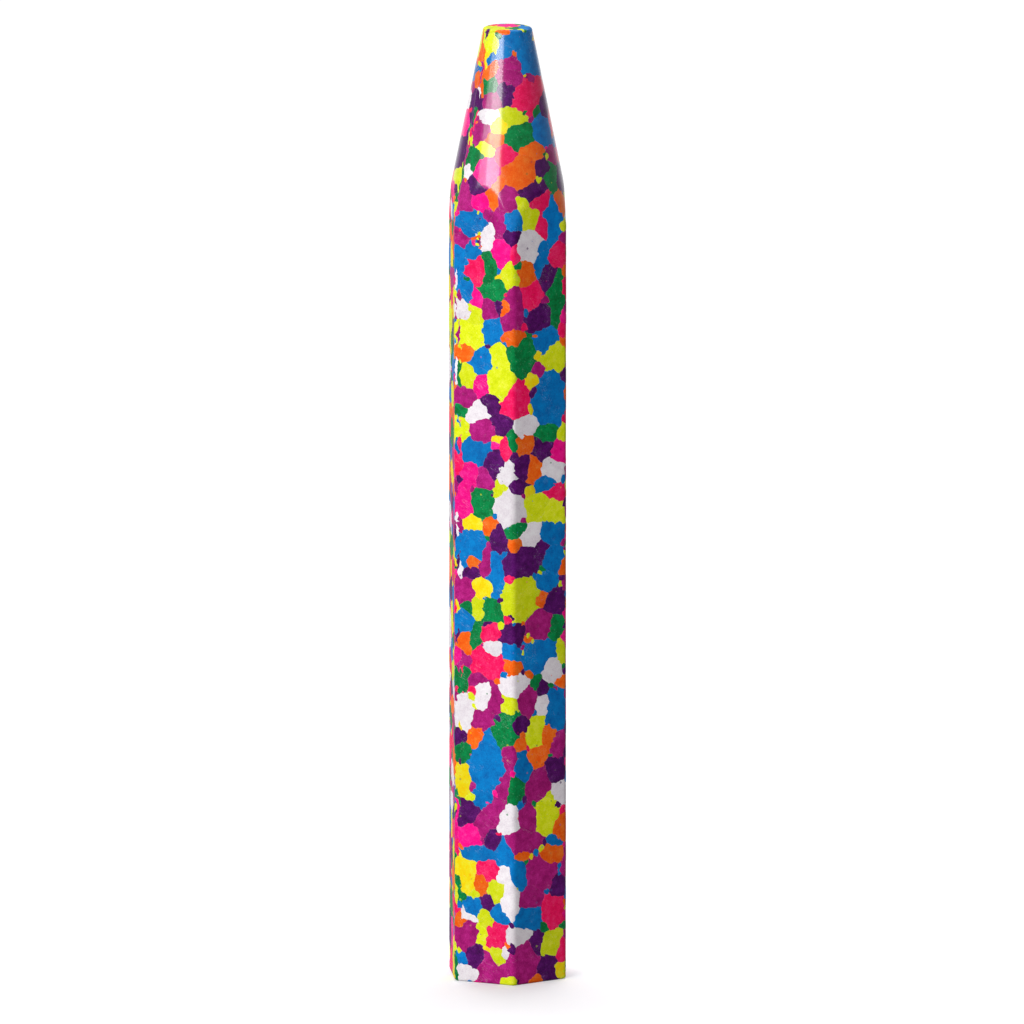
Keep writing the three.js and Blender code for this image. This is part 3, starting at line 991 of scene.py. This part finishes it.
# The studio: a white table that stays white to the camera and keeps the soft contact shadow,
# two softboxes on the left that also lie on the cone as a streak, one behind, and weak light
# all round.
scene = bpy.context.scene
scene.view_settings.view_transform = "Standard"
table_size = 8.0
table_mesh = bmesh.new()
bmesh.ops.create_grid(table_mesh, x_segments=1, y_segments=1, size=table_size / 2)
table = placed_mesh("table", table_mesh)

# The table's own light and its share: first at the contact shadow, then away from it. The glow is low in
# front of the base, so the contact shadow shows there, and higher further off, where it lightens the key
# softboxes' shadow to the right of the base.
own_light = (1.85, 1.1)
own_light_share = (0.15, 0.9)
shadow_middle = (0, -14 * mm, 0)
shadow_reach = (14 * mm, 40 * mm)
seen_table = (0.95, 0.935, 0.965, 1)
unseen_table = (0.33, 0.325, 0.34, 1)
table_material = bpy.data.materials.new("white_table")
table_material.use_nodes = True
tree = table_material.node_tree
tree.nodes.clear()
table_output = node(tree, "ShaderNodeOutputMaterial", (600, 0))
table_mix = node(tree, "ShaderNodeMixShader", (400, 0))
table_diffuse = node(tree, "ShaderNodeBsdfDiffuse", (0, 100))
table_light = node(tree, "ShaderNodeEmission", (0, -100))
table_place = node(tree, "ShaderNodeTexCoord", (-800, -200))
from_shadow = node(tree, "ShaderNodeVectorMath", (-600, -200), operation="DISTANCE")
from_shadow.inputs[1].default_value = shadow_middle
tree.links.new(table_place.outputs["Object"], from_shadow.inputs[0])


def away_from_shadow(near, far, place):
    """A level that goes from its near value at the contact shadow to its far one on open table."""
    level = node(tree, "ShaderNodeMapRange", place)
    level.inputs["From Min"].default_value = shadow_reach[0]
    level.inputs["From Max"].default_value = shadow_reach[1]
    level.inputs["To Min"].default_value = near
    level.inputs["To Max"].default_value = far
    tree.links.new(from_shadow.outputs["Value"], level.inputs["Value"])
    return level.outputs[0]


tree.links.new(away_from_shadow(*own_light, (-400, -300)), table_light.inputs["Strength"])


def seen_plainly(tree, in_reflections):
    """One for a ray from the camera or a transmission, less in a reflection, otherwise nought."""
    path = node(tree, "ShaderNodeLightPath", (-600, 300))
    first = node(tree, "ShaderNodeMath", (-400, 300), operation="MAXIMUM")
    second = node(tree, "ShaderNodeMath", (-200, 300), operation="MAXIMUM")
    reflected = node(tree, "ShaderNodeMath", (-500, 200), operation="MULTIPLY")
    reflected.inputs[1].default_value = in_reflections
    tree.links.new(path.outputs["Is Glossy Ray"], reflected.inputs[0])
    tree.links.new(path.outputs["Is Camera Ray"], first.inputs[0])
    tree.links.new(reflected.outputs[0], first.inputs[1])
    tree.links.new(first.outputs[0], second.inputs[0])
    tree.links.new(path.outputs["Is Transmission Ray"], second.inputs[1])
    return second.outputs[0]


table_share = node(tree, "ShaderNodeMath", (200, 250), operation="MULTIPLY")
tree.links.new(away_from_shadow(*own_light_share, (-400, -100)), table_share.inputs[1])
table_seen = seen_plainly(tree, in_reflections=1)
table_colour = node(tree, "ShaderNodeMix", (-200, 50), data_type="RGBA")
table_colour.inputs[6].default_value = unseen_table
table_colour.inputs[7].default_value = seen_table
tree.links.new(table_seen, table_colour.inputs["Factor"])
tree.links.new(table_colour.outputs[2], table_diffuse.inputs["Color"])
tree.links.new(table_seen, table_share.inputs[0])
tree.links.new(table_share.outputs[0], table_mix.inputs[0])
tree.links.new(table_diffuse.outputs[0], table_mix.inputs[1])
tree.links.new(table_light.outputs[0], table_mix.inputs[2])
tree.links.new(table_mix.outputs[0], table_output.inputs[0])
table.data.materials.append(table_material)

room_light = 0.25
room_in_reflections = 0.1
world = bpy.data.worlds.new("white_room")
scene.world = world
world.use_nodes = True
room = world.node_tree
background = room.nodes["Background"]
background.inputs["Color"].default_value = (1, 1, 1, 1)
room_level = node(room, "ShaderNodeMapRange", (0, 300))
room_level.inputs["To Min"].default_value = room_light
room_level.inputs["To Max"].default_value = 1
room.links.new(seen_plainly(room, room_in_reflections), room_level.inputs["Value"])
room.links.new(room_level.outputs[0], background.inputs["Strength"])


def direction(turn, rise):
    """The way out at a turn from -Y towards +X, and at a rise above level, both in degrees."""
    level = math.cos(math.radians(rise))
    sideways = math.sin(math.radians(turn)) * level
    return Vector((sideways, -math.cos(math.radians(turn)) * level, math.sin(math.radians(rise))))


def softbox(name, turn, rise, away, wide, tall, brightness):
    """A softbox aimed at the middle of the stick, with the brightness of its cloth."""
    lamp = bpy.data.lights.new(name, "AREA")
    lamp.shape = "RECTANGLE"
    lamp.size = wide
    lamp.size_y = tall
    lamp.energy = brightness * math.pi * wide * tall
    holder = placed(name, lamp)
    way = direction(turn, rise)
    holder.location = Vector((0, 0, stick_length * mm / 2)) + way * away
    holder.rotation_euler = way.to_track_quat("Z", "Y").to_euler()


softbox("key_softbox", -37, 16.5, 0.8, 0.4, 0.115, 27)
softbox("key_wing", -60, 16.5, 0.8, 0.3, 0.115, 12)
softbox("back_softbox", 175, 58, 0.9, 0.85, 0.75, 3.9)

# The camera: a long lens, far back, a little to the left of the front corner and above it.
view_turn = -5.2
view_rise = 10.2
view_distance = 2.5
image_pixels = 1024
pixels_per_mm = 7.57
sensor_width = 36
clip_distance = 20
axis_shift = Vector((0.59 * mm, -1.3 * mm))
camera_data = bpy.data.cameras.new("camera")
camera_data.sensor_width = sensor_width
camera_data.lens = sensor_width * pixels_per_mm * view_distance / mm / image_pixels
camera_data.clip_end = clip_distance
camera = placed("camera", camera_data)
back = direction(view_turn, view_rise)
turned = back.to_track_quat("Z", "Y")
target = Vector((0, 0, stick_length * mm / 2))
target += turned @ Vector((axis_shift.x, axis_shift.y, 0))
camera.location = target + back * view_distance
camera.rotation_euler = turned.to_euler()
scene.camera = camera
